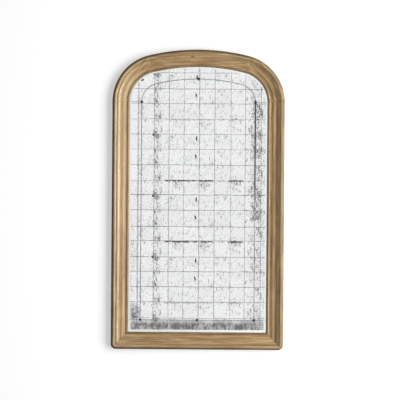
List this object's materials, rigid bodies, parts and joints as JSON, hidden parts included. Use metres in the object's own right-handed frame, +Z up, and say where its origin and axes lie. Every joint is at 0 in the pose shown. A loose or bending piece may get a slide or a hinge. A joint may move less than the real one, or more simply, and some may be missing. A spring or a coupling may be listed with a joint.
{
  "type": "arched wall mirror",
  "caption": "Tall wall mirror with a basket-arched top: moulded oak frame round an antiqued centre pane and narrow border panes with dark corner pins, hung from swinging rings.",
  "frame": {"origin": "on the face of the wall, midway between the two wall hooks, at the height where the hooks bear in the hanging rings", "axes": "+Z up along the mirror's height, +X to the right as seen from the front, +Y into the wall; the glass faces -Y"},
  "size_m": [1, 0.053, 1.7399],
  "materials": {
    "oak": "honey oak, waxed to a satin, with darker patina in the grooves and at the outside edge",
    "beech": "planed, unfinished",
    "plywood": "sanded birch plywood, unfinished",
    "antiqued_mirror": "silver leaf behind polished glass, with a faint grid of leaf overlaps and grey-brown foxing",
    "dark_bronze": "dark bronze lacquer, satin",
    "zinc_steel": "bright zinc plate, faintly brushed",
    "nylon": "natural nylon, matt",
    "foam_tape": "closed-cell foam, matt",
    "mastic": "cured mirror mastic, dull",
    "block_rubber": "dense setting-block rubber, matt",
    "bumper_rubber": "moulded rubber, matt"
  },
  "bodies": {
    "mirror": {"left_stile": "oak", "right_stile": "oak", "bottom_rail": "oak", "arch_left_haunch": "oak", "arch_crown": "oak", "arch_right_haunch": "oak", "arch_dowels": "beech", "mitre_tenons": "beech", "glass_centre": "antiqued_mirror", "glass_arch_left": "antiqued_mirror", "glass_arch_right": "antiqued_mirror", "glass_side_left": "antiqued_mirror", "glass_side_right": "antiqued_mirror", "glass_bottom_left": "antiqued_mirror", "glass_bottom_right": "antiqued_mirror", "carrier_board": "plywood", "glazing_tape": "foam_tape", "mastic_pads": "mastic", "setting_blocks": "block_rubber", "retaining_clips": "zinc_steel", "clip_screws": "zinc_steel", "mirror_pins": "dark_bronze", "pin_washers": "nylon", "hanger_plate_left": "zinc_steel", "hanger_plate_right": "zinc_steel", "hanger_screws": "zinc_steel", "wall_bumper_lower_left": "bumper_rubber", "wall_bumper_lower_right": "bumper_rubber", "wall_bumper_upper_left": "bumper_rubber", "wall_bumper_upper_right": "bumper_rubber", "bumper_screws": "zinc_steel"},
    "left_ring": {"hanging_ring_left": "zinc_steel"},
    "right_ring": {"hanging_ring_right": "zinc_steel"}
  },
  "joints": [
    {"name": "left_ring_swing", "type": "hinge", "parent": "mirror", "child": "left_ring", "pos_m": [-0.46, -0.00444, -0.023], "axis": [-1, 0, 0], "range_deg": [0, 180]},
    {"name": "right_ring_swing", "type": "hinge", "parent": "mirror", "child": "right_ring", "pos_m": [0.46, -0.00444, -0.023], "axis": [-1, 0, 0], "range_deg": [0, 180]}
  ]
}
